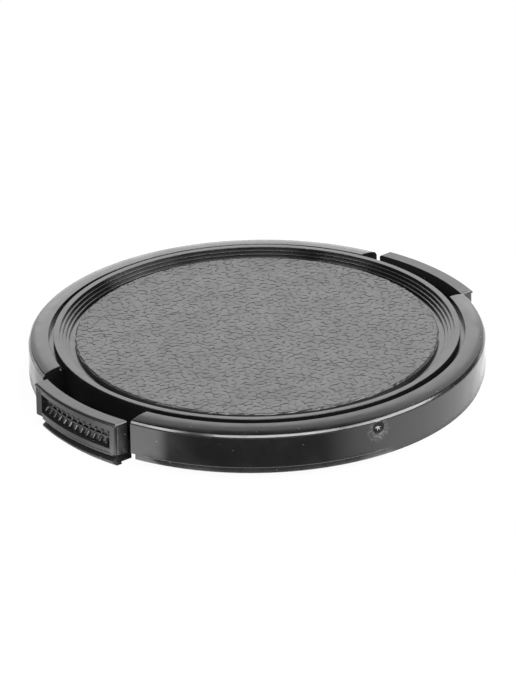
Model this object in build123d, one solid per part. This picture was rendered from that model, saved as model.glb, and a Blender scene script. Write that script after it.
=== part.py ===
from build123d import *
import math
import os

# A clip-on camera lens cap with two side-pinch latches, in millimetres, face up.
# The axis of the cap is Z and the latches slide along X. Z is 0 at the tips of the latch claws,
# on which the cap rests.

# Rim: the domed ring round the outside
RIM_DIAMETER = 60.4
RIM_WIDTH = 2.7
RIM_WALL = 1.2
RIM_WALL_HEIGHT = 5.45
DOME_RISE = 0.55
SHOULDER_BEVEL = 0.3
FOOT_HEIGHT = 0.9
FOOT_INSET = 0.32
FOOT_RELIEF = 0.35
NOTCH_WIDTH = 18.0
NOTCH_END_WALL = 1.1

# Groove, raised bezel and the steps down to the floor
GROOVE_WIDTH = 0.65
GROOVE_DEPTH = 0.75
GROOVE_WEB = 1.0
BEZEL_LIFT = 0.22
BEZEL_WIDTH = 0.8
STEP_COUNT = 4
STEP_RISE = 0.33
STEP_TREAD = 0.41
FLOOR_WIDTH = 0.79
FRONT_PLATE = 1.2

# Disc with a leather grain, glued on the floor
DISC_THICKNESS = 0.69
DISC_EDGE_BEVEL = 0.2

# Round gate mark on the rim's wall
GATE_DIAMETER = 1.75
GATE_DEPTH = 0.22
GATE_DROP = 1.1
GATE_AZIMUTH = -98.9

# Skirt and back plate, which close the latch chamber
SKIRT_WALL = 1.05
SKIRT_LIFT = 0.35
BACK_PLATE = 0.85
BACK_PLATE_GAP = 0.1
STAKE_CIRCLE = 38.0
STAKE_POST = 3.2
STAKE_PIN = 1.8
STAKE_GAP = 0.1
STAKE_ANGLES = (40, 140, 220, 320)

# Latch: the tab that fingers pinch
TAB_WIDTH = 16.7
TAB_PROUD = 1.65
TAB_THICKNESS = 1.95
TAB_DROP = 0.16
TAB_CORNER_FILLET = 0.6
LIP_THICKNESS = 0.45
LIP_FILLET = 0.4
FRAME_BOTTOM = 0.62

# Ribbed grip in the tab's outer face
WINDOW_WIDTH = 14.1
WINDOW_HEIGHT = 3.1
WINDOW_SILL = 0.35
SILL_RISE = 0.32
WINDOW_DEPTH = 1.3
LEDGE_HEIGHT = 1.9
LEDGE_DEPTH = 0.4
RIB_COUNT = 12
RIB_PITCH = 1.165
RIB_WIDTH = 0.34
RIB_SETBACK = 0.12
RIB_DROP = 0.27
RIB_NOSE = 0.14
RIB_TIP = 0.15
RIB_UNDERSIDE = 1.3
UPPER_RIB_PROUD = 0.36
UPPER_RIB_HEIGHT = 0.5

# Claw that bites into the lens's filter thread, below the tab
CLAW_REACH = 1.25
CLAW_SETBACK = 0.55
RIDGE_PITCH = 0.75
RIDGE_DEPTH = 0.7
RIDGE_LAND = 0.25
CLAW_TIP_WIDTH = 0.8

# Sliding base of the latch
SLIDER_WIDTH = 14.6
SLIDER_BLOCK = 2.6
SLIDER_TOP = 0.85
TONGUE_WIDTH = 12.0
TONGUE_THICKNESS = 0.75
TONGUE_LENGTH = 8.7
EAR_WIDTH = 15.4
EAR_LENGTH = 1.4
SPRING_SEAT_WIDTH = 5.2
SPRING_SEAT_WALL = 1.2
LATCH_TRAVEL = 2.8
SLIDE_GAP = 0.2
LIFT_GAP = 0.15
STOP_GAP = 0.1
CLEAR_OF_LATCH = 0.3

# Guides and spring anchors under the front plate
RAIL_WALL = 1.0
ANCHOR_WALL = 1.1
ANCHOR_WIDTH = 5.2

# Compression springs, at rest between an anchor and a tongue's end
SPRING_SPACE = 10.1
SPRING_COIL = 2.3
SPRING_WIRE = 0.36
SPRING_TURNS = 6
SPRING_SIDES = 10
SPRING_END_GAP = 0.05
PILOT_WIDTH = 1.2
PILOT_LENGTH = 1.4

# Radii, from the rim inward
rim_radius = RIM_DIAMETER / 2
wall_inner_radius = rim_radius - RIM_WALL
rim_inner_radius = rim_radius - RIM_WIDTH
bezel_radius = rim_inner_radius - GROOVE_WIDTH
bezel_inner_radius = bezel_radius - BEZEL_WIDTH
floor_radius = bezel_inner_radius - (STEP_COUNT - 1) * STEP_TREAD
disc_radius = floor_radius - FLOOR_WIDTH
skirt_inner_radius = bezel_radius - SKIRT_WALL

# Heights, from the claw tips upward
seat_z = CLAW_REACH
shoulder_z = seat_z + RIM_WALL_HEIGHT
rim_top_z = shoulder_z + DOME_RISE
groove_z = rim_top_z - GROOVE_DEPTH
web_under_z = groove_z - GROOVE_WEB
bezel_z = rim_top_z + BEZEL_LIFT
floor_z = bezel_z - STEP_COUNT * STEP_RISE
plate_under_z = floor_z - FRONT_PLATE
back_top_z = SKIRT_LIFT + BACK_PLATE
frame_bottom_z = seat_z + FRAME_BOTTOM
sill_z = frame_bottom_z + WINDOW_SILL
ledge_z = sill_z + LEDGE_HEIGHT
tab_top_z = shoulder_z - TAB_DROP
lip_bottom_z = tab_top_z - LIP_THICKNESS
slider_top_z = seat_z + SLIDER_TOP
tongue_bottom_z = back_top_z + LIFT_GAP
tongue_top_z = tongue_bottom_z + TONGUE_THICKNESS
slot_top_z = slider_top_z + SLIDE_GAP
spring_z = (back_top_z + plate_under_z) / 2

# Places along the slide axis, for the latch on the +X side
tab_face_radius = rim_radius + TAB_PROUD
tab_inner_radius = tab_face_radius - TAB_THICKNESS
window_radius = tab_face_radius - WINDOW_DEPTH
ledge_radius = window_radius + LEDGE_DEPTH
claw_radius = tab_face_radius - CLAW_SETBACK
block_end_x = tab_inner_radius - SLIDER_BLOCK
tongue_end_x = block_end_x - TONGUE_LENGTH
anchor_x = tongue_end_x - SPRING_SPACE
back_notch_x = block_end_x - LATCH_TRAVEL - CLEAR_OF_LATCH
rail_start_x = tongue_end_x + EAR_LENGTH + STOP_GAP
reach = tab_face_radius + RIM_WIDTH


def revolved(points):
    """Turn a closed outline of (radius, height) points about the cap's axis."""
    return revolve(Plane.XZ * make_face(Polyline(points, close=True)), Axis.Z)


def block(x0, x1, width, z0, z1):
    """A box from x0 to x1 and z0 to z1, centred across the slide axis."""
    centre = ((x0 + x1) / 2, 0, (z0 + z1) / 2)
    return Pos(*centre) * Box(x1 - x0, width, z1 - z0)


def side_walls(x0, x1, inner_width, wall, z0, z1):
    """Two walls along X, one on each side of a channel of the given width."""
    outer = block(x0, x1, inner_width + 2 * wall, z0, z1)
    return outer - block(x0, x1, inner_width, z0, z1)


def both_ends(piece):
    """A piece and its copy turned half round the cap's axis."""
    return piece + Rot(0, 0, 180) * piece


def pilot(x0, x1):
    """A square pin along X that keeps a spring's end in place."""
    return block(x0, x1, PILOT_WIDTH, spring_z - PILOT_WIDTH / 2, spring_z + PILOT_WIDTH / 2)


def pillar(diameter, z0, z1):
    """An upright cylinder on the cap's axis."""
    return Pos(0, 0, (z0 + z1) / 2) * Cylinder(diameter / 2, z1 - z0)


def stake_places():
    """Where the posts stand that hold the back plate."""
    return [Rot(0, 0, angle) * Pos(STAKE_CIRCLE / 2, 0, 0) for angle in STAKE_ANGLES]


def shell_section():
    """Half section of the shell: skirt, rim, groove, bezel, steps and front plate."""
    outside = Polyline(
        (0, plate_under_z),
        (skirt_inner_radius, plate_under_z),
        (skirt_inner_radius, SKIRT_LIFT),
        (bezel_radius, SKIRT_LIFT),
        (bezel_radius, web_under_z),
        (wall_inner_radius, web_under_z),
        (wall_inner_radius, seat_z),
        (rim_radius - FOOT_INSET, seat_z),
        (rim_radius - FOOT_INSET, seat_z + FOOT_HEIGHT),
        (rim_radius, seat_z + FOOT_HEIGHT),
        (rim_radius, shoulder_z),
    )
    dome = TangentArc((rim_inner_radius, rim_top_z), (rim_radius, shoulder_z), tangent=(1, 0))
    steps = []
    for step in range(STEP_COUNT):
        radius = bezel_inner_radius - step * STEP_TREAD
        height = bezel_z - step * STEP_RISE
        steps += [(radius, height), (radius, height - STEP_RISE)]
    inside = Polyline(
        (rim_inner_radius, rim_top_z),
        (rim_inner_radius, groove_z),
        (bezel_radius, groove_z),
        (bezel_radius, bezel_z),
        *steps,
        (0, floor_z),
        (0, plate_under_z),
    )
    section = make_face(outside.edges() + dome.edges() + inside.edges())
    return chamfer(corner(section, rim_radius, shoulder_z), SHOULDER_BEVEL)


def corner(section, radius, height):
    """The vertex of a section nearest to a place given by radius and height."""
    return section.vertices().sort_by_distance((radius, height, 0))[:1]


def gate_mark():
    """The ball whose cap is sunk into the rim's wall as the gate mark."""
    ball_radius = (GATE_DIAMETER**2 / 4 + GATE_DEPTH**2) / (2 * GATE_DEPTH)
    ball = Pos(rim_radius - GATE_DEPTH + ball_radius, 0, shoulder_z - GATE_DROP) * Sphere(ball_radius)
    return Rot(0, 0, GATE_AZIMUTH) * ball


def make_cap_shell():
    shell = revolve(Plane.XZ * shell_section(), Axis.Z)
    # The ends of the rim beside each notch are closed by walls down to the seat
    ends = side_walls(0, reach, NOTCH_WIDTH, NOTCH_END_WALL, seat_z, web_under_z)
    channel = revolved([
        (bezel_radius, seat_z),
        (wall_inner_radius, seat_z),
        (wall_inner_radius, web_under_z),
        (bezel_radius, web_under_z),
    ])
    shell += both_ends(ends & channel)
    outside = Cylinder(reach, 3 * bezel_z) - Cylinder(bezel_radius, 3 * bezel_z)
    notch = block(0, reach, NOTCH_WIDTH, 0, 2 * bezel_z) & outside
    relief_width = NOTCH_WIDTH + 2 * FOOT_RELIEF
    relief = block(0, reach, relief_width, 0, seat_z + FOOT_HEIGHT) & outside
    shell -= both_ends(notch + relief)
    # The slot under the bezel through which each latch slides
    slot_width = SLIDER_WIDTH + 2 * SLIDE_GAP
    slot_start_x = back_notch_x - SKIRT_WALL
    shell -= both_ends(block(slot_start_x, reach, slot_width, 0, slot_top_z))
    # Guides beside each tongue, and an anchor for each spring
    guide_width = TONGUE_WIDTH + 2 * SLIDE_GAP
    rails = side_walls(rail_start_x, back_notch_x, guide_width, RAIL_WALL, back_top_z, plate_under_z)
    anchor = block(anchor_x - ANCHOR_WALL, anchor_x, ANCHOR_WIDTH, back_top_z, plate_under_z)
    shell += both_ends(rails + anchor + pilot(anchor_x, anchor_x + PILOT_LENGTH))
    # Posts that the back plate rests on, with pins that are melted flush in its holes
    stake = block(-STAKE_POST / 2, STAKE_POST / 2, STAKE_POST, back_top_z, plate_under_z)
    stake += pillar(STAKE_PIN, SKIRT_LIFT, back_top_z)
    for place in stake_places():
        shell += place * stake
    return shell - gate_mark()


def make_grain_disc():
    disc = pillar(2 * disc_radius, floor_z, floor_z + DISC_THICKNESS)
    return chamfer(disc.edges().group_by(Axis.Z)[-1], DISC_EDGE_BEVEL)


def make_back_plate():
    plate = pillar(2 * (skirt_inner_radius - BACK_PLATE_GAP), SKIRT_LIFT, back_top_z)
    notch_width = SLIDER_WIDTH + 2 * SLIDE_GAP
    plate -= both_ends(block(back_notch_x, reach, notch_width, 0, bezel_z))
    hole = pillar(STAKE_PIN + 2 * STAKE_GAP, 0, bezel_z)
    for place in stake_places():
        plate -= place * hole
    return plate


def tab_slice(z0, z1):
    """A slice of a ring between two heights, as wide as the tab."""
    ring = pillar(2 * tab_face_radius, z0, z1) - pillar(2 * tab_inner_radius, z0, z1)
    return ring & block(0, reach, TAB_WIDTH, z0, z1)


def tab_blank():
    """The tab before its window is cut: a body with rounded corners under a lip with a rounded edge."""
    body = tab_slice(frame_bottom_z, lip_bottom_z)
    uprights = body.edges().filter_by(Axis.Z).group_by(SortBy.DISTANCE)[-1]
    lip = tab_slice(lip_bottom_z, tab_top_z)
    outer_edge = lip.edges().filter_by(GeomType.CIRCLE).group_by(Axis.Z)[-1].sort_by(Axis.X)[-1:]
    return fillet(uprights, TAB_CORNER_FILLET) + fillet(outer_edge, LIP_FILLET)


def grip_window():
    """What is cut from the tab's face: a slot with a sloping sill and a ledge half way up its back wall."""
    slot = revolved([
        (ledge_radius, sill_z + SILL_RISE),
        (tab_face_radius, sill_z),
        (reach, sill_z),
        (reach, sill_z + WINDOW_HEIGHT),
        (window_radius, sill_z + WINDOW_HEIGHT),
        (window_radius, ledge_z),
        (ledge_radius, ledge_z),
    ])
    return slot & block(0, reach, WINDOW_WIDTH, 0, bezel_z)


def grip_ribs():
    """The row of ribs in the window: flat on top, undercut below, with a smaller rib above each of them."""
    top_z = ledge_z - RIB_DROP
    tip_z = top_z - RIB_NOSE
    tip_radius = tab_face_radius - RIB_SETBACK
    outline = Polyline(
        (window_radius, top_z),
        (tip_radius - RIB_TIP, top_z),
        (tip_radius, tip_z),
        (window_radius, tip_z - RIB_UNDERSIDE),
        close=True,
    )
    rib = extrude(Plane.XZ * make_face(outline), RIB_WIDTH / 2, both=True)
    root_radius = (tab_inner_radius + window_radius) / 2
    upper_radius = window_radius + UPPER_RIB_PROUD
    rib += block(root_radius, upper_radius, RIB_WIDTH, top_z, ledge_z + UPPER_RIB_HEIGHT)
    turn = math.degrees(RIB_PITCH / tab_face_radius)
    first = -(RIB_COUNT - 1) * turn / 2
    return Part(children=[Rot(0, 0, first + index * turn) * rib for index in range(RIB_COUNT)])


def claw():
    """The two thread ridges under the tab, with the tip on which the cap rests."""
    root_radius = claw_radius - RIDGE_DEPTH
    upper_z = frame_bottom_z - RIDGE_LAND
    valley_z = upper_z - RIDGE_PITCH / 2
    lower_z = upper_z - RIDGE_PITCH
    ring = revolved([
        (tab_inner_radius, frame_bottom_z),
        (claw_radius, frame_bottom_z),
        (claw_radius, upper_z),
        (root_radius, valley_z),
        (claw_radius, lower_z),
        (claw_radius, lower_z - RIDGE_LAND),
        (root_radius, 0),
        (root_radius - CLAW_TIP_WIDTH, 0),
        (tab_inner_radius, SKIRT_LIFT),
    ])
    return ring & block(0, reach, SLIDER_WIDTH, -bezel_z, bezel_z)


def make_latch():
    latch = tab_blank() - grip_window() + grip_ribs() + claw()
    base = block(block_end_x, tab_face_radius, SLIDER_WIDTH, SKIRT_LIFT, slider_top_z)
    within = Cylinder(tab_inner_radius + CLAW_SETBACK, 3 * bezel_z)
    latch += base & within
    latch += block(tongue_end_x, block_end_x + CLEAR_OF_LATCH, TONGUE_WIDTH, tongue_bottom_z, tongue_top_z)
    latch += block(tongue_end_x, tongue_end_x + EAR_LENGTH, EAR_WIDTH, tongue_bottom_z, tongue_top_z)
    seat_top_z = plate_under_z - SLIDE_GAP
    latch += block(tongue_end_x, tongue_end_x + SPRING_SEAT_WALL, SPRING_SEAT_WIDTH, tongue_bottom_z, seat_top_z)
    return latch + pilot(tongue_end_x - PILOT_LENGTH, tongue_end_x)


def make_spring():
    """A coil along X between the anchor of the shell and the seat of the latch."""
    margin = SPRING_END_GAP + SPRING_WIRE / 2
    length = tongue_end_x - anchor_x - 2 * margin
    helix = Helix(length / SPRING_TURNS, length, SPRING_COIL / 2)
    bends = SPRING_TURNS * SPRING_SIDES
    path = Polyline([helix @ (bend / bends) for bend in range(bends + 1)])
    wire = Plane(origin=path @ 0, z_dir=path % 0) * RegularPolygon(SPRING_WIRE / 2, 6)
    coil = sweep(wire, path, transition=Transition.RIGHT)
    return Pos(anchor_x + margin, 0, spring_z) * Rot(0, 90, 0) * coil


def make_pieces():
    latch = make_latch()
    spring = make_spring()
    half_turn = Rot(0, 0, 180)
    return {
        "cap_shell": make_cap_shell(),
        "grain_disc": make_grain_disc(),
        "back_plate": make_back_plate(),
        "latch_right": latch,
        "latch_left": half_turn * latch,
        "spring_right": spring,
        "spring_left": half_turn * spring,
    }


os.makedirs("parts", exist_ok=True)
for name, piece in make_pieces().items():
    export_step(piece, f"parts/{name}.step")
    print(name, round(piece.volume, 2), "mm3")
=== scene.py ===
# %% [markdown]
# # A clip-on lens cap
# The cap is black plastic and lies face up: a domed rim, a narrow groove, a stepped bezel and a
# disc with a leather grain. Two latches are pinched from the sides. The measured solids come in
# as a fixed frame. This lesson gives each of them its rounded edges, its grain and its finish,
# and then lights them as in a studio.

# %% Load the measured solids
import bmesh
import bpy
import math
from mathutils import Matrix, Vector, noise


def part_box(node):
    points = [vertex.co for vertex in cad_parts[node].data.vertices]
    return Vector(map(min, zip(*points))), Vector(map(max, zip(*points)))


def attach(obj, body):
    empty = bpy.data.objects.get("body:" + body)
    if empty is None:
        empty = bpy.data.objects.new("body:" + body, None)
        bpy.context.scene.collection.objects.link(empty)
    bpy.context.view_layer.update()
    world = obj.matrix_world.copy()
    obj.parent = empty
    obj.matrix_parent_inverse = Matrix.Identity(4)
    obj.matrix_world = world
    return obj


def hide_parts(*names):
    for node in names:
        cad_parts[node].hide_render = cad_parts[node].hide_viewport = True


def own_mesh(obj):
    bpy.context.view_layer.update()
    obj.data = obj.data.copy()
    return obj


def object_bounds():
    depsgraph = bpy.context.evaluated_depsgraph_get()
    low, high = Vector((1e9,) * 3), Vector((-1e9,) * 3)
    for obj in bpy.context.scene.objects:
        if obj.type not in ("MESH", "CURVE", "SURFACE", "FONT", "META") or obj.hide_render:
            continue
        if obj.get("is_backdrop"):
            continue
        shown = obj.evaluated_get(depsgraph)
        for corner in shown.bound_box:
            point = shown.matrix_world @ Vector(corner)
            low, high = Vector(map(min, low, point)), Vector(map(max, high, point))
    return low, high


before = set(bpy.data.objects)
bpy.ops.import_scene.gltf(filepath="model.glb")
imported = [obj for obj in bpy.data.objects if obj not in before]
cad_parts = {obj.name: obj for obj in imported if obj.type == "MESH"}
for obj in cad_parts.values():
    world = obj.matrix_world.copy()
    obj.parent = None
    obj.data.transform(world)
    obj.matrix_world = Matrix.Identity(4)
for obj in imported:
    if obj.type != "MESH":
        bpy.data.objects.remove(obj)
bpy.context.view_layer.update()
MM = 0.001
print("solids:", sorted(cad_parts))

# %% [markdown]
# ## The camera
# A long lens from far away flattens the perspective, as in a product shot. A camera could be
# aimed by eye, but circles tell more, so the place was found by fitting the circles of the rim to
# the picture. The camera is first laid out straight and then turned: about its own view for the
# small tilt of the picture, up to its elevation, and round the cap to its azimuth.

# %% Put the camera where the picture was taken from
AZIMUTH = math.radians(-39.5)
ELEVATION = math.radians(25.575)
TILT = math.radians(-1.02)
DISTANCE = 0.794713
AIM = Vector((0.0010997, 0.0011369, 0.0045447))
FILM_SIDE, FOCAL_PIXELS, PICTURE_HEIGHT = 36, 6000, 688

lens = bpy.data.cameras.new("picture_lens")
lens.sensor_width = FILM_SIDE
lens.lens = FILM_SIDE * FOCAL_PIXELS / PICTURE_HEIGHT
lens.clip_start, lens.clip_end = 0.01, 20
camera = bpy.data.objects.new("picture_camera", lens)
bpy.context.scene.collection.objects.link(camera)
turn = Matrix.Rotation(AZIMUTH, 4, "Z") @ Matrix.Rotation(math.pi / 2 - ELEVATION, 4, "X")
turn = turn @ Matrix.Rotation(TILT, 4, "Z")
camera_place = AIM + turn.to_3x3() @ Vector((0, 0, DISTANCE))
camera.matrix_world = Matrix.Translation(camera_place) @ turn
bpy.context.scene.camera = camera
print("camera at", [round(x, 4) for x in camera.matrix_world.translation])

# %% [markdown]
# ## Black plastic
# Moulded black plastic takes nearly all of its look from what it mirrors. Its own colour is
# almost black. One even gloss would look like glass, so a noise makes the gloss a little uneven,
# and a second one gives the surface a very shallow ripple. An image could do the same, but a
# noise on object coordinates needs no file and stays with the piece when it moves.

# %% Helpers for finishes and patterns
def grey(level):
    """A grey as the shaders take it, with its alpha."""
    return (level, level, level, 1)


def new_finish(name):
    """A new material with its nodes switched on."""
    material = bpy.data.materials.new(name)
    material.use_nodes = True
    return material


def inside(material):
    """The nodes, the links and the main shader of a material."""
    tree = material.node_tree
    return tree.nodes, tree.links, tree.nodes["Principled BSDF"]


def wave(nodes, links, place, size, detail):
    """A noise pattern of a given size on object coordinates."""
    pattern = nodes.new("ShaderNodeTexNoise")
    pattern.inputs["Scale"].default_value = 1 / size
    pattern.inputs["Detail"].default_value = detail
    links.new(place.outputs["Object"], pattern.inputs["Vector"])
    return pattern


def between(nodes, links, source, start, end, low, high):
    """Stretch a value from one range to another."""
    stretch = nodes.new("ShaderNodeMapRange")
    stretch.inputs["From Min"].default_value = start
    stretch.inputs["From Max"].default_value = end
    stretch.inputs["To Min"].default_value = low
    stretch.inputs["To Max"].default_value = high
    links.new(source, stretch.inputs["Value"])
    return stretch.outputs["Result"]


def two_colours(nodes, links, share, first, second):
    """A node that goes from one colour to another by a share from 0 to 1."""
    mix = nodes.new("ShaderNodeMix")
    mix.data_type = "RGBA"
    mix.inputs["A"].default_value = first
    mix.inputs["B"].default_value = second
    links.new(share, mix.inputs["Factor"])
    return mix


# %% The black plastics of the cap
NOISE_LOW, NOISE_HIGH = 0.3, 0.7
PATCH_SIZE = 3 * MM
SHELL_GREY, LATCH_GREY = 0.005, 0.010


def plastic(name, level, rough, spread, ripple_size, ripple_height, index=1.6):
    """A dark plastic. Its roughness rises by a spread in patches, and a bump gives the ripple."""
    material = new_finish(name)
    nodes, links, shader = inside(material)
    shader.inputs["Base Color"].default_value = grey(level)
    shader.inputs["IOR"].default_value = index
    place = nodes.new("ShaderNodeTexCoord")
    patches = wave(nodes, links, place, PATCH_SIZE, detail=6).outputs["Fac"]
    roughness = between(nodes, links, patches, NOISE_LOW, NOISE_HIGH, rough, rough + spread)
    links.new(roughness, shader.inputs["Roughness"])
    ripple = wave(nodes, links, place, ripple_size, detail=3)
    bump = nodes.new("ShaderNodeBump")
    bump.inputs["Strength"].default_value = 1
    bump.inputs["Distance"].default_value = ripple_height
    links.new(ripple.outputs["Fac"], bump.inputs["Height"])
    links.new(bump.outputs["Normal"], shader.inputs["Normal"])
    return material


shell_plastic = plastic(
    "black_shell_plastic", SHELL_GREY, rough=0.13, spread=0.16,
    ripple_size=1.5 * MM, ripple_height=0.004 * MM, index=1.55,
)
latch_plastic = plastic(
    "black_latch_plastic", LATCH_GREY, rough=0.20, spread=0.08,
    ripple_size=0.6 * MM, ripple_height=0.003 * MM, index=1.46,
)
back_plastic = plastic(
    "matt_back_plastic", level=0.014, rough=0.45, spread=0.10,
    ripple_size=0.25 * MM, ripple_height=0.010 * MM,
)
grain_plastic = plastic(
    "leather_grain_plastic", level=0.012, rough=0.34, spread=0.08,
    ripple_size=0.20 * MM, ripple_height=0.006 * MM, index=1.67,
)
black_plastics = (shell_plastic, latch_plastic, back_plastic, grain_plastic)
print("finishes:", [material.name for material in black_plastics])

# %% [markdown]
# A few pale specks of dust lie on the shell and the latches. They could be scattered as tiny
# pieces, but they have no thickness to speak of, so they are part of the finish. A pattern of
# cells places them: a speck shows only where the centre of a cell comes near the surface.

# %% Dust on the shell and the latches
DUST_SPACING = 1.2 * MM
DUST_COLOUR = (0.30, 0.30, 0.29, 1)
SPECK, SPECK_FADE = 0.03, 0.05


def add_dust(material, level):
    """Scatter a few pale specks over a plastic of a given grey."""
    nodes, links, shader = inside(material)
    place = nodes.new("ShaderNodeTexCoord")
    cells = nodes.new("ShaderNodeTexVoronoi")
    cells.inputs["Scale"].default_value = 1 / DUST_SPACING
    links.new(place.outputs["Object"], cells.inputs["Vector"])
    clean = between(nodes, links, cells.outputs["Distance"], SPECK, SPECK_FADE, 0, 1)
    dusty = two_colours(nodes, links, clean, DUST_COLOUR, grey(level))
    links.new(dusty.outputs["Result"], shader.inputs["Base Color"])
    print("dust on", material.name)


add_dust(shell_plastic, SHELL_GREY)
add_dust(latch_plastic, LATCH_GREY)

# %% [markdown]
# ## Rounded edges on the measured shapes
# The measured solids have sharp edges, and a real moulding has none: its edges catch the light in
# thin lines. A bevel modifier would round all edges alike, so each visible solid is copied, its
# triangles are merged into whole faces, and only its outer edges are bevelled, each group by its
# own size.

# %% Helpers that copy a solid and round its edges
MERGE = 0.001 * MM
FLAT = math.radians(0.5)


def everything(bm):
    """All points, edges and faces of a mesh, as the cutting tools want them."""
    return bm.verts[:] + bm.edges[:] + bm.faces[:]


def fill_holes(bm):
    """Close every open border with a face."""
    bmesh.ops.holes_fill(bm, edges=[e for e in bm.edges if e.is_boundary], sides=0)


def whole_copy(node):
    """A copy of a measured solid, with doubled points merged and flat triangles joined."""
    bm = bmesh.new()
    bm.from_mesh(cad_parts[node].data)
    bmesh.ops.remove_doubles(bm, verts=bm.verts, dist=MERGE)
    bmesh.ops.dissolve_limit(bm, angle_limit=FLAT, verts=bm.verts, edges=bm.edges)
    print(node, "comes as", len(bm.faces), "whole faces")
    return bm


def outer_edges(bm, degrees, wanted):
    """The convex edges sharper than an angle whose middle is where it is wanted."""
    found = []
    for edge in bm.edges:
        if len(edge.link_faces) == 2 and edge.calc_face_angle_signed(0) > math.radians(degrees):
            if wanted((edge.verts[0].co + edge.verts[1].co) / 2):
                found.append(edge)
    return found


def round_edges(bm, edges, size, segments):
    """Bevel some edges to a round profile."""
    bmesh.ops.bevel(
        bm, geom=edges, offset=size, offset_type="OFFSET", segments=segments, profile=0.5,
        affect="EDGES", clamp_overlap=False, material=-1,
    )


# %% [markdown]
# A mirror shows every wrong normal. Smooth shading alone would bend the wide faces near their
# bevels. Each corner's normal is therefore the mean of the faces round it that it blends into,
# weighted by area, so that wide faces stay flat up to their bevels. On turned faces the part of
# the normal that runs round the axis is taken out, because a turned face has none.

# %% Helpers for the normals and the finished piece
BLEND = math.cos(math.radians(32))
TURNED_FROM = 20 * MM
ACROSS = 0.12


def corner_normals(bm, turned):
    """One normal for each face corner, by area and without facets where a face is turned."""
    normals = []
    bm.normal_update()
    for face in bm.faces:
        for vert in face.verts:
            mean = Vector()
            for other in vert.link_faces:
                if other.normal.dot(face.normal) > BLEND:
                    mean += other.normal * other.calc_area()
            around = Vector((-vert.co.y, vert.co.x, 0))
            if around.length > TURNED_FROM and turned(face):
                around.normalize()
                if abs(face.normal.dot(around)) < ACROSS:
                    mean -= around * mean.dot(around)
            normals.append(mean.normalized() if mean.length > 0 else face.normal.copy())
    return normals


def piece(bm, name, body, material, nodes, turned=None):
    """Make an object that rides on a body and stands for some of the measured solids."""
    normals = corner_normals(bm, turned) if turned else None
    mesh = bpy.data.meshes.new(name)
    bm.to_mesh(mesh)
    bm.free()
    mesh.materials.append(material)
    mesh.shade_smooth()
    if normals:
        mesh.normals_split_custom_set(normals)
    made = bpy.data.objects.new(name, mesh)
    bpy.context.scene.collection.objects.link(made)
    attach(made, body)
    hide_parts(*nodes)
    print(name, "has", len(mesh.polygons), "faces")
    return made


def finish_faces(made, material, wanted):
    """Give those faces of a piece that are wanted another finish."""
    made.data.materials.append(material)
    faces = [polygon for polygon in made.data.polygons if wanted(polygon)]
    for polygon in faces:
        polygon.material_index = len(made.data.materials) - 1
    print(material.name, "on", len(faces), "faces of", made.name)


# %% [markdown]
# ## The shell
# The shell is one moulding: rim, groove, bezel, steps and the walls behind them. The shoulder,
# where the dome meets the wall, carries the brightest line, so it is rounded first and a little
# more than the rest. Two places are left sharp. The gate mark, a round dish in the wall where the
# plastic flowed in, is so small that bevels would swallow it. The latch chamber is closed, and
# nobody sees its edges.

# %% Where the shell is rounded
GATE_AZIMUTH = math.radians(-98.9)
GATE_HEIGHT, GATE_CLEAR = 5.6 * MM, 1.3 * MM
RIM_RADIUS = 30.2 * MM
SHOULDER_RADIUS, SHOULDER_LOW, ABOVE_GATE = 29.7 * MM, 6 * MM, 6.6 * MM
CHAMBER_RADIUS, CHAMBER_TOP = 25.9 * MM, 5.5 * MM
gate_outward = Vector((math.cos(GATE_AZIMUTH), math.sin(GATE_AZIMUTH), 0))
gate_centre = gate_outward * RIM_RADIUS + Vector((0, 0, GATE_HEIGHT))


def away_from_gate(place):
    """Whether a place is clear of the gate mark."""
    return (place - gate_centre).length > GATE_CLEAR


def on_the_shoulder(place):
    """Whether a place is where the dome meets the wall, above the gate mark or clear of it."""
    clear = place.z > ABOVE_GATE or place.z > SHOULDER_LOW and away_from_gate(place)
    return place.to_2d().length > SHOULDER_RADIUS and clear


def on_the_outside(place):
    """Whether a place is outside the closed latch chamber and clear of the gate mark."""
    outside = place.z > CHAMBER_TOP or place.to_2d().length > CHAMBER_RADIUS
    return away_from_gate(place) and outside


print("gate mark at", [round(x / MM, 2) for x in gate_centre], "mm")

# %% The shell with its fine bevels
SHELL_SHARP = 25
SHOULDER_ROUND, SHELL_ROUND = 0.12 * MM, 0.08 * MM
LEVEL = 0.1


def lies_level(edge):
    """Whether an edge runs round the cap and not up its wall."""
    return abs((edge.verts[0].co - edge.verts[1].co).normalized().z) < LEVEL


shell = whole_copy("cap_shell")
shoulder_edges = [e for e in outer_edges(shell, SHELL_SHARP, on_the_shoulder) if lies_level(e)]
print("shoulder edges to round:", len(shoulder_edges))
round_edges(shell, shoulder_edges, SHOULDER_ROUND, segments=3)
shell_edges = outer_edges(shell, SHELL_SHARP, on_the_outside)
print("other edges to round:", len(shell_edges))
round_edges(shell, shell_edges, SHELL_ROUND, segments=3)

# %% [markdown]
# What broke off at the gate left a jagged stub, whose face leans up and shines. A lump with a
# bump would have a round outline, so a flat cone is set into the dish, and every other point of
# its border is drawn in. A seeded random reach makes the points uneven.

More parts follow.
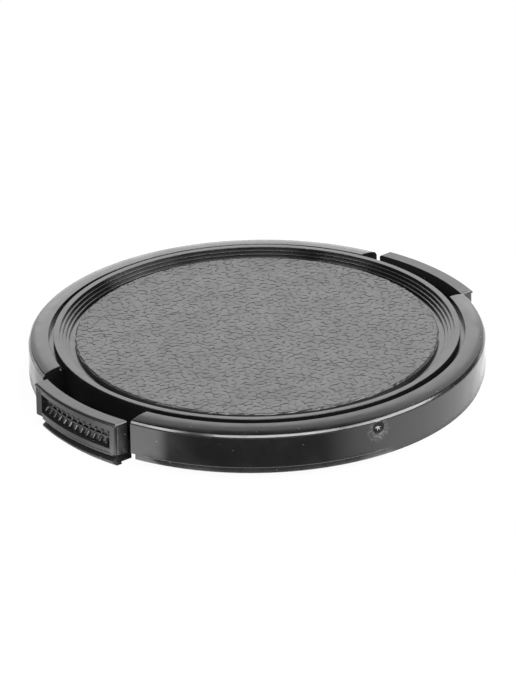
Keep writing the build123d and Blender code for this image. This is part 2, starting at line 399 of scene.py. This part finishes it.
# %% The broken stub in the gate mark
STUB_POINTS, STUB_LEAN = 6, 0.68
STUB_REACH, STUB_FLARE, STUB_THICKNESS = 0.46 * MM, 1.25, 0.16 * MM
STUB_SINK, STUB_DROP = 0.20 * MM, 0.10 * MM
NOTCH, POINT, POINT_VARIES = 0.36, 0.8, 0.4
stub_facing = (gate_outward + Vector((0, 0, STUB_LEAN))).normalized()
stub_place = stub_facing.to_track_quat("Z", "Y").to_matrix().to_4x4()
stub_place.translation = gate_centre - gate_outward * STUB_SINK - Vector((0, 0, STUB_DROP))
stub = bmesh.ops.create_cone(
    shell, cap_ends=True, segments=2 * STUB_POINTS, radius1=STUB_FLARE * STUB_REACH,
    radius2=STUB_REACH, depth=STUB_THICKNESS, matrix=stub_place,
)["verts"]
noise.seed_set(4)
for vert in stub:
    place = stub_place.inverted() @ vert.co
    point = round(math.atan2(place.y, place.x) / math.pi * STUB_POINTS)
    reach = NOTCH if point % 2 else POINT + POINT_VARIES * noise.random()
    vert.co = stub_place @ Vector((place.x * reach, place.y * reach, place.z))
print("the stub has", len(stub), "points")

# %% [markdown]
# Four pins of the shell go through the back plate. Their ends were melted into low heads that
# hold the plate. They are seen only from below, so short tapered cones with a rounded edge are
# enough.

# %% The melted heads on the back
HEAD_CIRCLE, HEAD_RADIUS, HEAD_HEIGHT = 19 * MM, 1.35 * MM, 0.2 * MM
HEAD_TAPER, HEAD_ROUND, HEAD_SIDES = 0.9, 0.09 * MM, 32
head_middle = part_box("back_plate")[0].z - HEAD_HEIGHT / 2
for degrees in (40, 140, 220, 320):
    angle = math.radians(degrees)
    centre = Vector((HEAD_CIRCLE * math.cos(angle), HEAD_CIRCLE * math.sin(angle), head_middle))
    head = bmesh.ops.create_cone(
        shell, cap_ends=True, segments=HEAD_SIDES, radius1=HEAD_TAPER * HEAD_RADIUS,
        radius2=HEAD_RADIUS, depth=HEAD_HEIGHT, matrix=Matrix.Translation(centre),
    )["verts"]
    lower = [e for e in shell.edges if all(v in head and v.co.z < centre.z for v in e.verts)]
    round_edges(shell, lower, HEAD_ROUND, segments=3)
rim_shell = piece(
    shell, "rim_shell", "shell", shell_plastic, ["cap_shell"],
    turned=lambda face: away_from_gate(face.calc_center_median()),
)

# %% [markdown]
# Inside the gate mark the plastic was torn and is dull, except on the broken face of the stub. A
# mask in the shell's own finish could show that, but the faces already have the right borders, so
# they get a finish of their own.

# %% The torn finish inside the gate mark
TORN_REACH = 0.95 * MM
STUB_FACE = 0.999
torn_plastic = plastic(
    "torn_gate_plastic", level=0.005, rough=0.55, spread=0.20,
    ripple_size=0.20 * MM, ripple_height=0.020 * MM, index=1.3,
)


def in_the_gate(polygon):
    """Whether a face lies in the gate mark and isn't the broken face of the stub."""
    places = [rim_shell.data.vertices[k].co for k in polygon.vertices]
    near = all((place - gate_centre).length < TORN_REACH for place in places)
    return near and polygon.normal.dot(stub_facing) < STUB_FACE


finish_faces(rim_shell, torn_plastic, in_the_gate)

# %% [markdown]
# Round the gate mark the plastic was stressed and has a pale bloom. It has no shape and no
# border, so it is painted into the shell's finish: a noise gives the blotches, and the distance
# from the gate fades them out.

# %% The pale bloom round the gate mark
BLOOM_GREY, BLOTCH_SIZE = 0.08, 0.35 * MM
BLOTCH_LOW, BLOTCH_HIGH = 0.42, 0.70
BLOOM_DROP, BLOOM_START, BLOOM_END = 0.5 * MM, 0.9 * MM, 1.8 * MM


def add_bloom(material, centre):
    """Pale blotches on a finish that fade away from a place."""
    nodes, links, shader = inside(material)
    place = nodes.new("ShaderNodeTexCoord")
    away = nodes.new("ShaderNodeVectorMath")
    away.operation = "DISTANCE"
    away.inputs[1].default_value = centre
    links.new(place.outputs["Object"], away.inputs[0])
    near = between(nodes, links, away.outputs["Value"], BLOOM_START, BLOOM_END, 1, 0)
    blotches = wave(nodes, links, place, BLOTCH_SIZE, detail=5).outputs["Fac"]
    blotches = between(nodes, links, blotches, BLOTCH_LOW, BLOTCH_HIGH, 0, 1)
    strength = nodes.new("ShaderNodeMath")
    strength.operation = "MULTIPLY"
    links.new(near, strength.inputs[0])
    links.new(blotches, strength.inputs[1])
    colour = shader.inputs["Base Color"]
    pale = two_colours(nodes, links, strength.outputs["Value"], grey(0), grey(BLOOM_GREY))
    links.new(colour.links[0].from_socket, pale.inputs["A"])
    links.new(pale.outputs["Result"], colour)
    print("bloom on", material.name)


add_bloom(shell_plastic, gate_centre - Vector((0, 0, BLOOM_DROP)))

# %% [markdown]
# The bezel's wall in the groove looks dead black, because hardly any light comes out of the
# groove. Its faces get a darker, matt copy of the plastic that mirrors next to nothing: painted
# shade.

# %% The groove wall with painted shade
GROOVE_WALL, GROOVE_NEAR = 26.84 * MM, 0.15 * MM
FACES_OUT, BELOW_BEZEL = 0.9, 0.1 * MM
# Painted shade: a darker, duller copy of the shell's plastic on the groove wall.
painted_shade_groove_finish = plastic(
    "matt_painted_shade_groove_finish", level=0.003, rough=0.50, spread=0.10,
    ripple_size=0.25 * MM, ripple_height=0.010 * MM, index=1.2,
)
bezel_top = max(vert.co.z for vert in rim_shell.data.vertices)


def on_the_groove_wall(polygon):
    """Whether a face is on the bezel's outer wall, below its rounded top."""
    outward = polygon.center.to_2d().to_3d()
    on_the_wall = abs(outward.length - GROOVE_WALL) < GROOVE_NEAR
    faces_out = on_the_wall and polygon.normal.dot(outward.normalized()) > FACES_OUT
    return faces_out and polygon.center.z < bezel_top - BELOW_BEZEL


finish_faces(rim_shell, painted_shade_groove_finish, on_the_groove_wall)

# %% [markdown]
# ## The grain disc
# The disc carries a leather grain: flat pebbles with short broken creases between them. Bump
# alone would look painted at a low angle, so the pebbles are real. In leather three pebbles meet
# wherever creases cross, and a net of triangles turned into its dual has just such crossings:
# each triangle becomes a crossing, each point becomes a pebble. The points are shaken first, so
# that no two pebbles are alike.

# %% A net of uneven cells
PEBBLE = 1.05 * MM
ROW_STEP, ROW_SHIFT, SHAKE = 0.866, 0.25, 0.36
EDGE_ROUND = 0.2 * MM
disc_low, disc_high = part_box("grain_disc")
disc_radius = (disc_high.x - disc_low.x) / 2
top_radius = disc_radius - EDGE_ROUND
ROWS = 2 * math.ceil(disc_radius / (PEBBLE * ROW_STEP) / 2 + 1) * 2

disc = bmesh.new()
bmesh.ops.create_grid(disc, x_segments=ROWS, y_segments=ROWS, size=ROWS / 2)
noise.seed_set(11)
for vert in disc.verts:
    shift = ROW_SHIFT if round(vert.co.y + ROWS / 2) % 2 else -ROW_SHIFT
    shake = noise.random_unit_vector(size=2) * SHAKE
    x, y = vert.co.x + shift + shake.x, (vert.co.y + shake.y) * ROW_STEP
    vert.co = Vector((x, y, 0)) * PEBBLE
bmesh.ops.triangulate(disc, faces=disc.faces, quad_method="SHORT_EDGE")
corners = set(bmesh.ops.poke(disc, faces=disc.faces)["verts"])
sides = [e for e in disc.edges if not e.is_boundary and corners.isdisjoint(e.verts)]
bmesh.ops.rotate_edges(disc, edges=sides, use_ccw=False)
inner_points = [v for v in disc.verts if v not in corners and not v.is_boundary]
bmesh.ops.dissolve_verts(disc, verts=inner_points)
print("cells in the net:", len(disc.faces))

# %% [markdown]
# The net is square, and the disc is round. A knife that goes round in many straight cuts trims
# it. Some neighbours are then joined in pairs, because pebbles of one size would look like a
# honeycomb.

# %% Trim the net to a disc and join some pebbles
RIM_SIDES = 120
CLOSEST = 0.06 * MM
JOINED_SHARE = 0.35
for k in range(RIM_SIDES):
    angle = 2 * math.pi * k / RIM_SIDES
    out = Vector((math.cos(angle), math.sin(angle), 0))
    bmesh.ops.bisect_plane(
        disc, geom=everything(disc), dist=MERGE, plane_co=out * top_radius, plane_no=out,
        clear_outer=True,
    )
bmesh.ops.remove_doubles(disc, verts=disc.verts, dist=CLOSEST)
alone = set(disc.faces)
joined = []
for edge in disc.edges:
    both_alone = len(edge.link_faces) == 2 and alone.issuperset(edge.link_faces)
    if both_alone and noise.random() < JOINED_SHARE:
        alone.difference_update(edge.link_faces)
        joined.append(edge)
bmesh.ops.dissolve_edges(disc, edges=joined, use_verts=False)
print("pebbles:", len(disc.faces))

# %% [markdown]
# The lines between the cells are divided and bent by a noise, and every cell is inset: the ring
# that this leaves is the wall of the crease. The lines then sink, each by its own depth. Where
# the depth comes to nothing the crease is broken and two pebbles flow together. A slight crown on
# each pebble varies its tone.

# %% Bend and sink the creases
CREASE_REACH, CREASE_DEPTH, CROWN = 0.10 * MM, 0.042 * MM, 0.010 * MM
WIDE_BEND, WIDE_RATE = 0.3, 0.9
FINE_BEND, FINE_RATE = 0.12, 2.9
DEPTH_MEAN, DEPTH_VARIES, DEPTH_RATE = 0.65, 1.6, 1.6
DEPTH_OFFSET = Vector((7, 3, 1))
bmesh.ops.bisect_edges(disc, edges=[e for e in disc.edges if not e.is_boundary], cuts=3)
lines = list(disc.verts)
border = {v for v in lines if v.is_boundary}
crease_ends = {v for v in border if any(not e.is_boundary for e in v.link_edges)}
for vert in lines:
    if vert not in border:
        wide = noise.noise_vector(vert.co / PEBBLE * WIDE_RATE) * WIDE_BEND
        bend = wide + noise.noise_vector(vert.co / PEBBLE * FINE_RATE) * FINE_BEND
        vert.co += Vector((bend.x, bend.y, 0)) * PEBBLE
bmesh.ops.inset_individual(disc, faces=disc.faces, thickness=CREASE_REACH, use_even_offset=False)
for vert in lines:
    if vert not in border or vert in crease_ends:
        varied = noise.noise(vert.co / PEBBLE * DEPTH_RATE + DEPTH_OFFSET)
        vert.co.z = -CREASE_DEPTH * min(1, max(0, DEPTH_MEAN + DEPTH_VARIES * varied))
for vert in border:
    vert.co.x, vert.co.y = vert.co.to_2d().normalized() * top_radius
tops = [f for f in disc.faces if len(f.verts) > 4]
bmesh.ops.poke(disc, faces=tops, offset=CROWN)
for vert in disc.verts:
    vert.co.z += disc_high.z - CROWN
print("points on the creases:", len(lines))

# %% [markdown]
# The edge of the disc is a little ragged, as if it was punched out. A bevel would be even all
# round, so the border is extruded in rings instead, each further out and further down, and a
# noise wears them.

# %% Close the disc with its worn edge
WORN_MEAN, WORN_SIZE = 0.5, 0.33 * MM


def next_ring(bm):
    """Extrude the open border of a mesh and give the new points."""
    rim = [edge for edge in bm.edges if edge.is_boundary]
    made = bmesh.ops.extrude_edge_only(bm, edges=rim)["geom"]
    return [item for item in made if isinstance(item, bmesh.types.BMVert)]


# Millimetres out, millimetres down and how ragged, for each ring.
for out, down, ragged in ((0.10, 0.02, 0.10), (0.15, 0.11, 0.10), (0.2, 0.2, 0)):
    for vert in next_ring(disc):
        worn = ragged * (WORN_MEAN + noise.noise(vert.co / WORN_SIZE))
        flat = vert.co.to_2d().normalized() * (top_radius + (out - worn) * MM)
        vert.co = (flat.x, flat.y, min(vert.co.z, disc_high.z - (down + worn) * MM))
for vert in next_ring(disc):
    vert.co.z = disc_low.z
fill_holes(disc)
bmesh.ops.recalc_face_normals(disc, faces=disc.faces)
leather_disc = piece(disc, "leather_disc", "shell", grain_plastic, ["grain_disc"])
leather_disc.data.shade_flat()

# %% [markdown]
# ## The latches
# Each latch is one moulding: a tab with a lip, a window with two rows of ribs, a claw with two
# thread ridges and the slider behind them. The lip stands out over the face below it and draws a
# dark line there. The measured face is flush, so the copy is cut at the lip's underside and the
# face below is moved in, fading to flush at the tab's ends. The lip's sharp ends are cut off with
# a slanted plane, because a bevel has no room there.

# %% The lip and the face below it
LIP_FACE, LIP_THICKNESS, END_CUT = 31.85 * MM, 0.45 * MM, 0.2 * MM
OVERHANG, FLUSH_FROM = 0.35 * MM, 8.0 * MM
FRAME_BOTTOM, FOOT_LIFT = 1.87 * MM, 0.3 * MM
WINDOW_BACK, WINDOW_HALF = 30.62 * MM, 7.1 * MM
CLAW_FACE, CLAW_HALF = 31.4 * MM, 7.5 * MM
CORNER_HALF, CORNER_RADIUS, CORNER_DEPTH = 8.1 * MM, 31.2 * MM, 0.6 * MM
CUT_MERGE, CLOSE = 0.002 * MM, 0.01 * MM


def cut_the_lip_ends(bm, top):
    """Cut the sharp top edge off both ends of the lip and close the cuts."""
    for end in (1, -1):
        corner = Vector((0, end * max(v.co.y * end for v in bm.verts), top - END_CUT))
        bmesh.ops.bisect_plane(
            bm, geom=everything(bm), dist=CUT_MERGE, plane_co=corner,
            plane_no=Vector((0, end, 1)), clear_outer=True,
        )
        fill_holes(bm)
    bm.normal_update()


def set_back_the_face(bm, top):
    """Move the face below the lip in, with the window and the ribs, and lift the tab's foot."""
    under = top - LIP_THICKNESS
    bmesh.ops.bisect_plane(
        bm, geom=everything(bm), dist=CUT_MERGE, plane_co=(0, 0, under), plane_no=(0, 0, 1),
    )
    for vert in bm.verts:
        radius = vert.co.to_2d().length
        at_the_foot = vert.co.z < FRAME_BOTTOM + CLOSE
        on_the_claw = at_the_foot and radius < CLAW_FACE and abs(vert.co.y) < CLAW_HALF
        below_the_lip = FRAME_BOTTOM - CLOSE < vert.co.z < under + CLOSE
        if below_the_lip and radius > WINDOW_BACK and not on_the_claw:
            fade = (FLUSH_FROM - abs(vert.co.y)) / (FLUSH_FROM - WINDOW_HALF)
            fade = min(1, max(0, fade))
            moved = fade * OVERHANG * (radius - WINDOW_BACK) / (LIP_FACE - WINDOW_BACK)
            across = math.sqrt((radius - moved) ** 2 - vert.co.y ** 2)
            vert.co.x = math.copysign(across, vert.co.x)
            if at_the_foot:
                vert.co.z += FOOT_LIFT


def at_the_lip_corner(place, top):
    """Whether a place is at the lip's outer corner, where edges are too short for a bevel."""
    far_out = abs(place.y) > CORNER_HALF and place.to_2d().length > CORNER_RADIUS
    return far_out and place.z > top - CORNER_DEPTH


print("lip", LIP_THICKNESS / MM, "mm thick, overhang", OVERHANG / MM, "mm")

# %% [markdown]
# The grip window has a raised sill and two rows of ribs. The lower ribs end in long slanted noses
# that catch the light as small strokes. The measured ribs have the right places, so their points
# are only moved: the tips go down, the tops are shortened, and a slope comes about between them.

# %% The sill and the noses of the ribs
SILL, SILL_LIFT = 2.22 * MM, 0.5 * MM
LEDGE, LEDGE_LIFT = 0.34 * MM, 0.28 * MM
RIBS_HALF, RIBS_LOW, RIBS_HIGH = 7.0 * MM, 2.8 * MM, 5.25 * MM
RIBS_BACK, RIBS_FRONT = 30.6 * MM, 31.45 * MM
RIB_TIP, RIB_TOP = 31.38 * MM, 31.25 * MM
NOSE_DROP, TOP_CUT = 0.42 * MM, 0.36 * MM


def lift_the_sill(bm):
    """Raise the window's sill, more at its front than at its back."""
    for vert in bm.verts:
        above = vert.co.z - SILL
        in_front = vert.co.to_2d().length > WINDOW_BACK and abs(vert.co.y) < WINDOW_HALF
        if in_front and -CLOSE < above < LEDGE:
            vert.co.z += SILL_LIFT if above < CLOSE else LEDGE_LIFT


def in_the_window(place):
    """Whether a place is on the ribs, inside the grip window."""
    in_the_opening = abs(place.y) < RIBS_HALF and RIBS_LOW < place.z < RIBS_HIGH
    return in_the_opening and RIBS_BACK < place.to_2d().length < RIBS_FRONT


def point_the_ribs(bm):
    """Give the lower ribs a longer slope at the front, whose edges catch the light."""
    for vert in (v for v in bm.verts if in_the_window(v.co)):
        radius = vert.co.to_2d().length
        if radius > RIB_TIP:
            vert.co.z -= NOSE_DROP
        elif radius > RIB_TOP:
            shorter = (radius - TOP_CUT) / radius
            vert.co.x *= shorter
            vert.co.y *= shorter


print("sill at", round((SILL + SILL_LIFT) / MM, 2), "mm, noses", NOSE_DROP / MM, "mm lower")

# %% [markdown]
# Both latches are the same moulding, so one loop makes them. The ribs get one flat bevel each, as
# wide as their noses allow. The other edges get a finer round one. The slider is as matt as it
# came out of the mould. The back of the window gets a paler plastic: partly dust that has settled
# there, partly painted light that brightens the recess.

# %% Both latches
LATCH_SHARP = 32
RIB_BEVEL, LATCH_ROUND = 0.11 * MM, 0.05 * MM
TAB_FROM = 27 * MM
SLIDER_FRONT, SLIDER_TOP = 29.8 * MM, 2.6 * MM
RECESS_FROM, RECESS_TO, RIBS_MIDDLE = 30.4 * MM, 30.7 * MM, 31 * MM
# Paler plastic at the back of the window: dust, and painted light in the recess.
dust_and_painted_light_plastic = plastic(
    "dust_and_painted_light_recess", level=0.045, rough=0.65, spread=0.15,
    ripple_size=0.25 * MM, ripple_height=0.010 * MM,
)


def on_the_slider(polygon):
    """Whether a face is on the slider behind the tab."""
    return polygon.center.to_2d().length < SLIDER_FRONT and polygon.center.z < SLIDER_TOP


def at_the_window_back(polygon):
    """Whether a face is on the wall behind the ribs."""
    radius = polygon.center.to_2d().length
    behind = RECESS_FROM < radius < RECESS_TO
    return behind and in_the_window(polygon.center * (RIBS_MIDDLE / radius))


for side in ("left", "right"):
    latch = whole_copy("latch_" + side)
    latch_top = max(vert.co.z for vert in latch.verts)
    cut_the_lip_ends(latch, latch_top)
    set_back_the_face(latch, latch_top)
    lift_the_sill(latch)
    point_the_ribs(latch)
    round_edges(latch, outer_edges(latch, LATCH_SHARP, in_the_window), RIB_BEVEL, segments=1)
    latch_edges = outer_edges(
        latch, LATCH_SHARP, lambda place: place.to_2d().length > TAB_FROM
        and not in_the_window(place) and not at_the_lip_corner(place, latch_top),
    )
    round_edges(latch, latch_edges, LATCH_ROUND, segments=2)
    bmesh.ops.dissolve_degenerate(latch, dist=MERGE, edges=latch.edges)
    pinch_latch = piece(
        latch, "pinch_latch_" + side, side + "_latch", latch_plastic,
        ["latch_" + side], turned=lambda face: True,
    )
    finish_faces(pinch_latch, back_plastic, on_the_slider)
    finish_faces(pinch_latch, dust_and_painted_light_plastic, at_the_window_back)

# %% [markdown]
# ## The springs
# A coil spring stands behind each latch and pushes it out. Its wire is bright drawn steel, a
# metal whose tone and gloss change along fine marks, so one noise drives both.

# %% The spring wire's finish
MARK_SIZE = 0.15 * MM
DARK_STEEL, PALE_STEEL = (0.45, 0.45, 0.46, 1), (0.62, 0.62, 0.63, 1)
STEEL_GLOSSY, STEEL_DULL = 0.22, 0.38
spring_wire = new_finish("bright_spring_wire")
nodes, links, shader = inside(spring_wire)
shader.inputs["Metallic"].default_value = 1
place = nodes.new("ShaderNodeTexCoord")
drawn = wave(nodes, links, place, MARK_SIZE, detail=4).outputs["Fac"]
tint = two_colours(nodes, links, drawn, DARK_STEEL, PALE_STEEL)
links.new(tint.outputs["Result"], shader.inputs["Base Color"])
roughness = between(nodes, links, drawn, NOISE_LOW, NOISE_HIGH, STEEL_GLOSSY, STEEL_DULL)
links.new(roughness, shader.inputs["Roughness"])
print("finish:", spring_wire.name)

# %% [markdown]
# A curve with a round bevel could be the coil. Here the wire's round section is spun about the
# coil's axis while it moves along it, which gives a clean mesh in one step.

# %% Both springs
COIL_TURNS, COIL_STEPS, WIRE, WIRE_SIDES = 6, 24, 0.36 * MM, 10
for side, fixed_at_high in (("left", True), ("right", False)):
    low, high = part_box("spring_" + side)
    middle = (low + high) / 2
    coil_radius = (high.y - low.y) / 2 - WIRE / 2
    length = high.x - low.x - WIRE
    upright = Matrix.Rotation(math.pi / 2, 4, "X")
    upright.translation = Vector((low.x + WIRE / 2, middle.y, middle.z + coil_radius))
    bm = bmesh.new()
    bmesh.ops.create_circle(
        bm, cap_ends=True, segments=WIRE_SIDES, radius=WIRE / 2, matrix=upright,
    )
    bmesh.ops.spin(
        bm, geom=everything(bm), cent=(0, middle.y, middle.z), axis=(1, 0, 0),
        dvec=(length / (COIL_TURNS * COIL_STEPS), 0, 0), angle=2 * math.pi * COIL_TURNS,
        steps=COIL_TURNS * COIL_STEPS, use_merge=False,
    )
    bmesh.ops.remove_doubles(bm, verts=bm.verts, dist=MERGE)
    fill_holes(bm)
    bmesh.ops.recalc_face_normals(bm, faces=bm.faces)
    coil = piece(bm, "coil_" + side, "shell", spring_wire, ["spring_" + side])
    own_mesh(coil)

# %% [markdown]
# ## The back plate
# A matt plate closes the back and keeps the latches in. It is seen only from below, so it gets
# the same treatment as the shell, on its lower edges alone.

# %% The back plate
BACK_SHARP, BACK_LOW, BACK_ROUND = 40, 0.5 * MM, 0.08 * MM
back = whole_copy("back_plate")
back_edges = outer_edges(back, BACK_SHARP, lambda place: place.z < BACK_LOW)
round_edges(back, back_edges, BACK_ROUND, segments=2)
piece(
    back, "back_cover", "shell", back_plastic, ["back_plate"],
    turned=lambda face: True,
)

# %% [markdown]
# ## Studio
# Black plastic shows what it mirrors, so the studio is built for its mirror images. The cap
# stands on a pale floor. More light would turn the floor white, but it would spoil the plastic
# too. So a glow that only the camera sees makes the floor white paper, and a trace of the matt
# paper is kept for a soft shadow.

# %% The floor
FLOOR_RADIUS, SHEET_SIDES = 3, 96
PAPER_GREY, PAPER_GLOW = 0.8, 0.96


def stage_object(bm, name, material):
    """A thing that belongs to the studio, not to the cap."""
    mesh = bpy.data.meshes.new(name)
    bm.to_mesh(mesh)
    bm.free()
    mesh.materials.append(material)
    made = bpy.data.objects.new(name, mesh)
    bpy.context.scene.collection.objects.link(made)
    made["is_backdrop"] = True
    print(name, "stands in the studio")
    return made


def flat_disc(radius, height):
    """A round sheet that faces up."""
    bm = bmesh.new()
    bmesh.ops.create_circle(bm, cap_ends=True, segments=SHEET_SIDES, radius=radius)
    bmesh.ops.translate(bm, verts=bm.verts, vec=(0, 0, height))
    return bm


paper = new_finish("white_paper")
nodes, links, shader = inside(paper)
nodes.remove(shader)
matt = nodes.new("ShaderNodeBsdfDiffuse")
matt.inputs["Color"].default_value = grey(PAPER_GREY)
glow = nodes.new("ShaderNodeEmission")
mix = nodes.new("ShaderNodeMixShader")
seen = nodes.new("ShaderNodeLightPath").outputs["Is Camera Ray"]
links.new(between(nodes, links, seen, 0, 1, 0, PAPER_GLOW), mix.inputs["Fac"])
links.new(matt.outputs["BSDF"], mix.inputs[1])
links.new(glow.outputs["Emission"], mix.inputs[2])
links.new(mix.outputs["Shader"], nodes["Material Output"].inputs["Surface"])
stage_object(flat_disc(FLOOR_RADIUS, 0), "floor", paper)

# %% [markdown]
# The rim's wall mirrors the ground round the cap. In the picture it is dark in the middle and
# light at both sides. Lamps could do that only in hard patches, so a flat ring on the floor glows
# instead, and a gradient that runs round it gives each direction its own brightness.

# %% Helpers for glowing panels
RING_SIDES = 128
PANEL_GREY = 0.02


def flat_ring(inner, outer, height):
    """A flat ring round the cap's axis, facing up."""
    bm = bmesh.new()
    for radius in (inner, outer):
        bmesh.ops.create_circle(bm, cap_ends=False, segments=RING_SIDES, radius=radius)
    bmesh.ops.bridge_loops(bm, edges=bm.edges)
    bmesh.ops.translate(bm, verts=bm.verts, vec=(0, 0, height))
    bmesh.ops.recalc_face_normals(bm, faces=bm.faces)
    if bm.faces[:][0].normal.z < 0:
        bmesh.ops.reverse_faces(bm, faces=bm.faces)
    return bm


def panel_light(name, strength):
    """A matt black panel that glows."""
    material = new_finish(name)
    shader = inside(material)[2]
    shader.inputs["Base Color"].default_value = grey(PANEL_GREY)
    shader.inputs["Roughness"].default_value = 1
    shader.inputs["Emission Color"].default_value = grey(1)
    shader.inputs["Emission Strength"].default_value = strength
    return material


# %% The light panel round the cap
PANEL_STRENGTH, PANEL_FORWARD = 3.2, 0.0165
PANEL_INNER, PANEL_OUTER, PANEL_HEIGHT = 32.0 * MM, 52 * MM, 0.01 * MM
# Degrees to the right of the camera, as seen from the cap, and the brightness there.
PANEL_STOPS = (
    (0, 0.01), (34, 0.03), (50, 0.40), (66, 0.54), (120, 0.54), (150, 0.75), (215, 0.75),
    (240, 0.38), (280, 0.38), (292, 0.90), (309, 1.00), (314, 0.10), (330, 0.01),
)
around_cap = panel_light("glow_round_the_cap", PANEL_STRENGTH)
nodes, links, shader = inside(around_cap)
place = nodes.new("ShaderNodeTexCoord")
aim = nodes.new("ShaderNodeMapping")
aim.vector_type = "TEXTURE"
aim.inputs["Location"].default_value = (
    PANEL_FORWARD * math.sin(AZIMUTH), -PANEL_FORWARD * math.cos(AZIMUTH), 0,
)
aim.inputs["Rotation"].default_value = (0, 0, AZIMUTH + math.pi / 2)
links.new(place.outputs["Object"], aim.inputs["Vector"])
sweep = nodes.new("ShaderNodeTexGradient")
sweep.gradient_type = "RADIAL"
links.new(aim.outputs["Vector"], sweep.inputs["Vector"])
glow = nodes.new("ShaderNodeValToRGB")
while len(glow.color_ramp.elements) < len(PANEL_STOPS):
    glow.color_ramp.elements.new(0.5)
for element, (degrees, level) in zip(glow.color_ramp.elements, PANEL_STOPS):
    element.position = degrees / 360
    element.color = grey(level)
links.new(sweep.outputs["Fac"], glow.inputs["Fac"])
links.new(glow.outputs["Color"], shader.inputs["Emission Color"])
panel = stage_object(flat_ring(PANEL_INNER, PANEL_OUTER, PANEL_HEIGHT), "light_panel", around_cap)

# %% [markdown]
# A thin line and a paler band run along the foot of the wall. They mirror the ground right in
# front of it, so two narrow arcs glow there: a strong one under the edge for the line, a faint
# one in front of it for the band. A black sheet under the cap is painted shadow: it stands in for
# the shade there and keeps light from coming up through the latch openings. The camera sees none
# of these sheets, and they cast no shadow.

# %% The arcs at the foot of the wall and the painted shadow under the cap
FOOT_INNER, FOOT_GLOW, FOOT_RIGHT, FOOT_FROM = 30.3 * MM, 6.0, 2, 25.6 * MM
NEAR_OUTER, NEAR_GLOW, NEAR_RIGHT, NEAR_FROM = 34.3 * MM, 0.26, 0, 28.5 * MM
NEAR_HEIGHT, CLOTH_HEIGHT = 0.014 * MM, 0.008 * MM


def front_arc(inner, outer, height, to_the_right, from_axis):
    """The part of a flat ring towards the camera, or some degrees to the right of it."""
    azimuth = AZIMUTH + math.radians(to_the_right)
    middle = Vector((math.sin(azimuth), -math.cos(azimuth), 0))
    bm = flat_ring(inner, outer, height)
    bmesh.ops.bisect_plane(
        bm, geom=everything(bm), dist=0, plane_co=middle * from_axis, plane_no=middle,
        clear_inner=True,
    )
    return bm


foot_arc = front_arc(FOOT_INNER, PANEL_INNER, PANEL_HEIGHT, FOOT_RIGHT, FOOT_FROM)
foot_ring = stage_object(foot_arc, "foot_ring", panel_light("glow_at_the_foot", FOOT_GLOW))
near_arc = front_arc(PANEL_INNER, NEAR_OUTER, NEAR_HEIGHT, NEAR_RIGHT, NEAR_FROM)
near_ring = stage_object(near_arc, "near_ring", panel_light("glow_near_the_foot", NEAR_GLOW))
# Painted shadow: a black sheet under the cap stands in for the shade there.
painted_shadow_sheet = flat_disc(RIM_RADIUS, CLOTH_HEIGHT)
painted_shadow_disc = stage_object(painted_shadow_sheet, "painted_shadow_under_the_cap", panel_light("black_painted_shadow_sheet", 0))
for gear in (panel, foot_ring, near_ring, painted_shadow_disc):
    gear.visible_camera = False
    gear.visible_shadow = False

# %% [markdown]
# A wide light behind the cap shows in its top, with a smaller one as its bright core. Two low
# sweeps light the slope of the rim at the back and on the left. Boxes to the left and right and a
# long strip in front draw the bright line along the shoulder, and a small lamp lights the ribs.
# The world is dim, so that it doesn't grey the black, and only the camera sees it white.

# %% World and lamps
WORLD_LIGHT = 0.12
# Name, width, height, azimuth, elevation, distance and radiance, in metres and degrees.
LAMPS = (
    ("back_light", 1.4, 1.0, 140.5, 33, 1.1, 1.15),
    ("back_core", 0.62, 0.55, 140.5, 27, 1.08, 1.1),
    ("back_sweep", 2.4, 0.20, 140.5, 4, 1.15, 2.0),
    ("left_sweep", 0.42, 0.22, -162.5, 5, 0.95, 2.0),
    ("left_box", 0.42, 0.24, -97.5, 35, 0.9, 12),
    ("right_box", 0.73, 0.28, 32.5, 31, 0.9, 12),
    ("rib_lamp", 0.20, 0.20, 52.5, 46, 0.9, 12),
    ("front_strip", 0.9, 0.30, -30.5, 38, 0.9, 13),
)


def soft_light(name, width, height, azimuth, elevation, distance, radiance):
    """A rectangular lamp that faces the cap, given by where it stands as seen from the cap."""
    lamp = bpy.data.lights.new(name, "AREA")
    lamp.shape = "RECTANGLE"
    lamp.size = width
    lamp.size_y = height
    lamp.energy = radiance * math.pi * width * height
    made = bpy.data.objects.new(name, lamp)
    a, e = math.radians(azimuth), math.radians(elevation)
    away = Vector((math.sin(a) * math.cos(e), -math.cos(a) * math.cos(e), math.sin(e)))
    facing = away.to_track_quat("Z", "Y").to_matrix().to_4x4()
    made.matrix_world = Matrix.Translation(away * distance) @ facing
    bpy.context.scene.collection.objects.link(made)


world = bpy.data.worlds.new("studio")
bpy.context.scene.world = world
world.use_nodes = True
nodes, links = world.node_tree.nodes, world.node_tree.links
sky = nodes["Background"]
seen = nodes.new("ShaderNodeLightPath").outputs["Is Camera Ray"]
links.new(between(nodes, links, seen, 0, 1, WORLD_LIGHT, 1), sky.inputs["Strength"])
sky.inputs["Color"].default_value = grey(1)
for row in LAMPS:
    soft_light(*row)
bpy.context.scene.view_settings.view_transform = "Standard"
print("lamps:", [row[0] for row in LAMPS])

# %% [markdown]
# ## Sizes
# The visual box of the finished pieces is printed, in millimetres. The finished pieces must keep
# to the measured box.

# %% Print the size of the finished pieces
low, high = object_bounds()
print("visual box in mm:", [round(x / MM, 2) for x in high - low])
